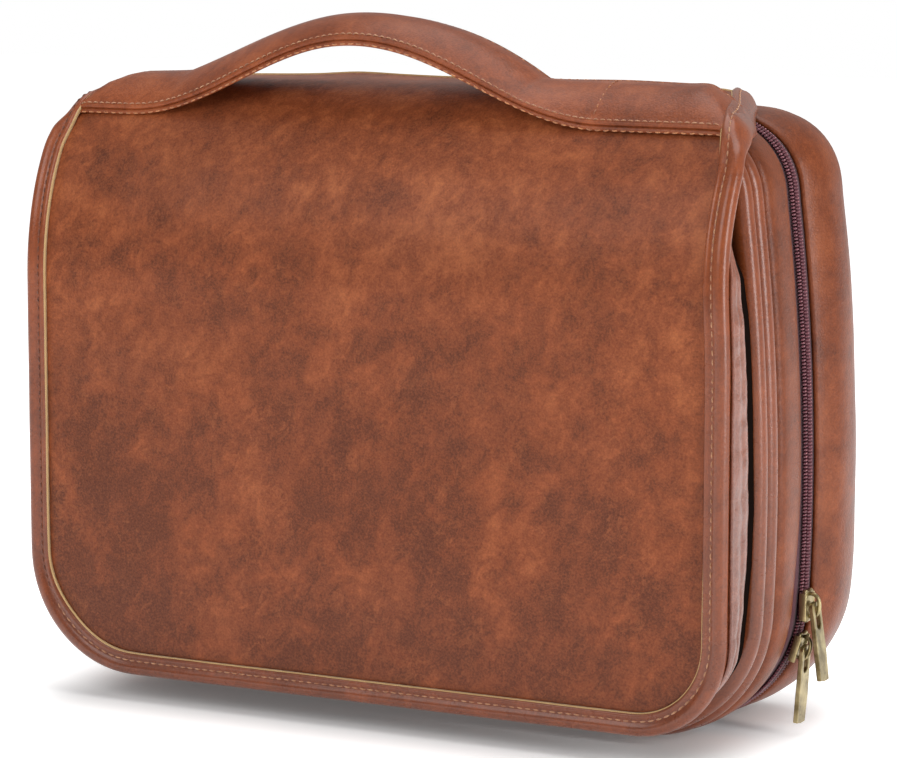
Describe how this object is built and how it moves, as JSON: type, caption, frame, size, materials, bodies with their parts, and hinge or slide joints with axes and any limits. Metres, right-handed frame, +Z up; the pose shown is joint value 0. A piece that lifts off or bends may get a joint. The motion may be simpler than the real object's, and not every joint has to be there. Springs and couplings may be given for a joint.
{
  "type": "hanging toiletry bag",
  "caption": "Padded leather toiletry bag: two zipped shells hinged at the top, a front flap, a strap handle, zip pulls and a stowed hanging hook.",
  "frame": {"origin": "on the flat bottom that the bag stands on, on its left-right middle plane, 57 mm behind the flap's front face", "axes": "+X to the bag's right side as seen from the front, +Y from the flap towards the back shell, +Z up towards the handle"},
  "size_m": [0.3015, 0.116, 0.2595],
  "materials": {
    "brown_leather": "mottled pull-up finish, satin with soft highlights",
    "binding_leather": "smooth, a little glossier than the panels",
    "strap_leather": "smooth satin",
    "foam": "matte foam",
    "board": "matte board",
    "lining_cloth": "matte woven lining",
    "mesh_cloth": "matte open mesh",
    "elastic": "matte ribbed elastic",
    "zipper_tape": "matte woven tape",
    "zipper_teeth": "satin coil",
    "antique_brass": "aged, brushed, worn bright on the edges",
    "plated_steel": "satin plated"
  },
  "bodies": {
    "back_shell": {"back_gusset": "brown_leather", "back_panel": "brown_leather", "back_padding": "foam", "back_stiffener": "board", "back_lining": "lining_cloth", "back_mesh_pocket": "mesh_cloth", "back_pocket_elastic": "elastic", "zipper_tape_back": "zipper_tape", "zipper_teeth_back": "zipper_teeth", "spine_hem": "binding_leather"},
    "front_shell": {"front_gusset": "brown_leather", "piping_outer": "binding_leather", "piping_inner": "binding_leather", "front_panel": "brown_leather", "front_stiffener": "board", "front_lining": "lining_cloth", "front_mesh_pocket": "mesh_cloth", "front_pocket_elastic": "elastic", "zipper_tape_front": "zipper_tape", "zipper_teeth_front": "zipper_teeth", "magnet_strikes": "plated_steel", "wrap": "brown_leather", "wrap_lining": "foam", "wrap_binding_left": "binding_leather", "wrap_binding_right": "binding_leather", "handle_end_left": "strap_leather", "handle_end_right": "strap_leather", "hook_tab": "binding_leather"},
    "flap": {"flap_panel": "brown_leather", "flap_padding": "foam", "flap_back": "lining_cloth", "flap_binding": "binding_leather", "flap_gusset_left": "binding_leather", "flap_gusset_right": "binding_leather", "flap_magnets": "plated_steel"},
    "handle": {"handle_strap": "strap_leather", "handle_underlayer": "strap_leather"},
    "upper_slider": {"upper_slider": "antique_brass"},
    "upper_pull": {"upper_pull": "antique_brass"},
    "lower_slider": {"lower_slider": "antique_brass"},
    "lower_pull": {"lower_pull": "antique_brass"},
    "hook_ring": {"hook_ring": "plated_steel"},
    "hook": {"hanging_hook": "plated_steel"}
  },
  "joints": [
    {"name": "front_shell_hinge", "type": "hinge", "parent": "back_shell", "child": "front_shell", "pos_m": [0, 0.025, 0.234], "axis": [-1, 0, 0], "range_deg": [0, 180]},
    {"name": "flap_hinge", "type": "hinge", "parent": "front_shell", "child": "flap", "pos_m": [0, -0.0374, 0.21611], "axis": [-1, 0, 0], "range_deg": [0, 125]},
    {"name": "handle_tilt", "type": "hinge", "parent": "front_shell", "child": "handle", "pos_m": [0, -0.023, 0.2325], "axis": [-1, 0, 0], "range_deg": [-12, 6], "stiffness_Nm_per_rad": 0.5},
    {"name": "upper_slider_slide", "type": "slide", "parent": "back_shell", "child": "upper_slider", "axis": [0, 0, 1], "range_m": [0, 0.1]},
    {"name": "upper_pull_swing", "type": "hinge", "parent": "upper_slider", "child": "upper_pull", "pos_m": [0.1499, 0.011, 0.048], "axis": [0, -1, 0], "range_deg": [0, 150]},
    {"name": "lower_slider_swing", "type": "hinge", "parent": "back_shell", "child": "lower_slider", "pos_m": [0.1, 0.011, 0.046], "axis": [0, 1, 0], "range_deg": [0, 30]},
    {"name": "lower_pull_swing", "type": "hinge", "parent": "lower_slider", "child": "lower_pull", "pos_m": [0.14648, 0.011, 0.03179], "axis": [0, -1, 0], "range_deg": [-8, 12]},
    {"name": "hook_fold", "type": "hinge", "parent": "front_shell", "child": "hook_ring", "pos_m": [0, 0.017, 0.01], "axis": [-1, 0, 0], "range_deg": [0, 180]},
    {"name": "hook_swivel", "type": "hinge", "parent": "hook_ring", "child": "hook", "pos_m": [0, 0.017, 0.03], "axis": [0, 0, 1], "continuous": true}
  ],
  "couplings": [
    {"joint": "hook_fold", "follows": "front_shell_hinge", "ratio": 1}
  ]
}
